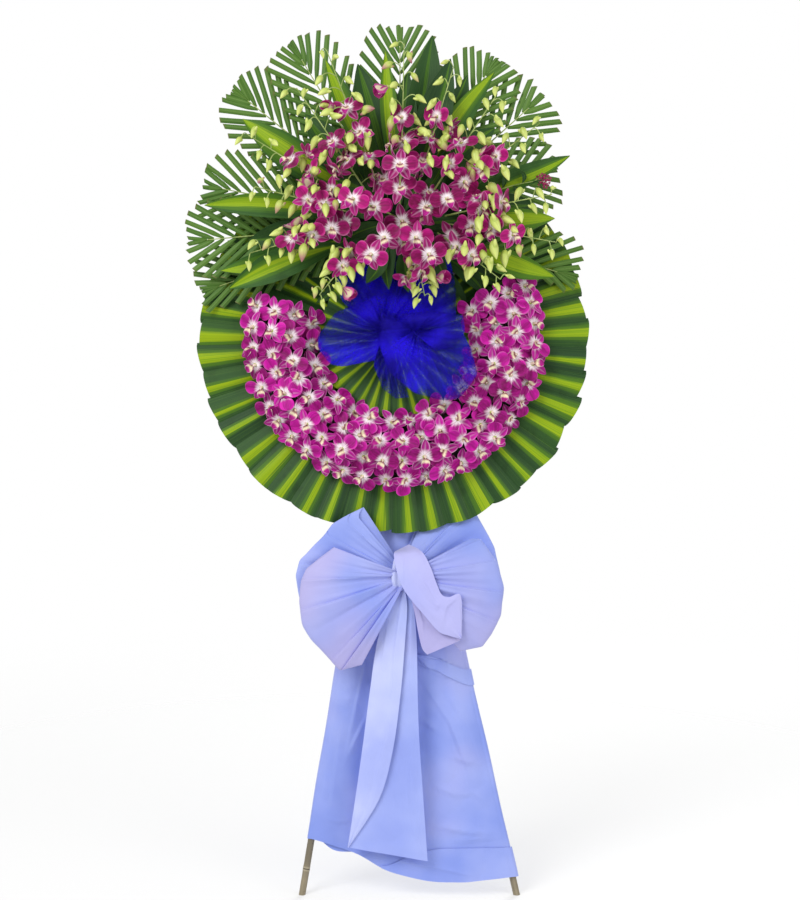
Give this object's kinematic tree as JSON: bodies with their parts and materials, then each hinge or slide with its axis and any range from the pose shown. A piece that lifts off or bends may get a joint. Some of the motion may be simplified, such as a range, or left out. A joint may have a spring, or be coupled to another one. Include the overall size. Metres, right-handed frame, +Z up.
{
  "type": "funeral wreath",
  "caption": "Standing funeral wreath on a leaning bamboo tripod: a disc of striped leaves, a horseshoe and spray of orchids, blue net, palm fronds and a pale cloth bow and skirt.",
  "frame": {"origin": "on the floor under the middle of the bounding box", "axes": "+Z up, +X to the right of someone who looks at the flowers, +Y to the back, so the flowers face -Y"},
  "size_m": [0.8196, 0.5574, 1.7523],
  "materials": {
    "bamboo": "matte",
    "cord": "matte",
    "foam_board": "matte",
    "floral_foam": "matte",
    "leaf": "satin",
    "palm": "satin",
    "orchid": "satin",
    "blue_net": "matte",
    "pale_cloth": "satin"
  },
  "bodies": {
    "root": {"leg_left": "bamboo", "leg_right": "bamboo", "leg_back": "bamboo", "spine_pole": "bamboo", "lower_rail": "bamboo", "batten_lower": "bamboo", "batten_upper": "bamboo", "apex_lashing": "cord", "backing_board": "foam_board", "foam_block": "floral_foam", "leaf_fan_1": "leaf", "leaf_fan_2": "leaf", "leaf_fan_3": "leaf", "inner_leaf_fan": "leaf", "broad_leaf_1": "leaf", "broad_leaf_2": "leaf", "broad_leaf_3": "leaf", "broad_leaf_4": "leaf", "broad_leaf_5": "leaf", "broad_leaf_6": "leaf", "broad_leaf_7": "leaf", "broad_leaf_8": "leaf", "broad_leaf_9": "leaf", "broad_leaf_10": "leaf", "palm_frond_1": "palm", "palm_frond_2": "palm", "palm_frond_3": "palm", "palm_frond_4": "palm", "palm_frond_5": "palm", "palm_frond_6": "palm", "palm_frond_7": "palm", "palm_frond_8": "palm", "palm_frond_9": "palm", "palm_frond_10": "palm", "flower_band_1": "orchid", "flower_band_2": "orchid", "flower_band_3": "orchid", "orchid_spray_1": "orchid", "orchid_spray_2": "orchid", "orchid_spray_3": "orchid", "orchid_spray_4": "orchid", "orchid_spray_5": "orchid", "orchid_spray_6": "orchid", "orchid_spray_7": "orchid", "orchid_spray_8": "orchid", "orchid_spray_9": "orchid", "orchid_spray_10": "orchid", "orchid_spray_11": "orchid", "orchid_spray_12": "orchid", "orchid_spray_13": "orchid", "orchid_spray_14": "orchid", "orchid_spray_centre": "orchid", "net_left": "blue_net", "net_right": "blue_net", "skirt": "pale_cloth", "bow_loop_left": "pale_cloth", "bow_loop_right": "pale_cloth", "bow_knot": "pale_cloth", "bow_tail_long": "pale_cloth", "bow_tail_short": "pale_cloth"}
  },
  "joints": []
}
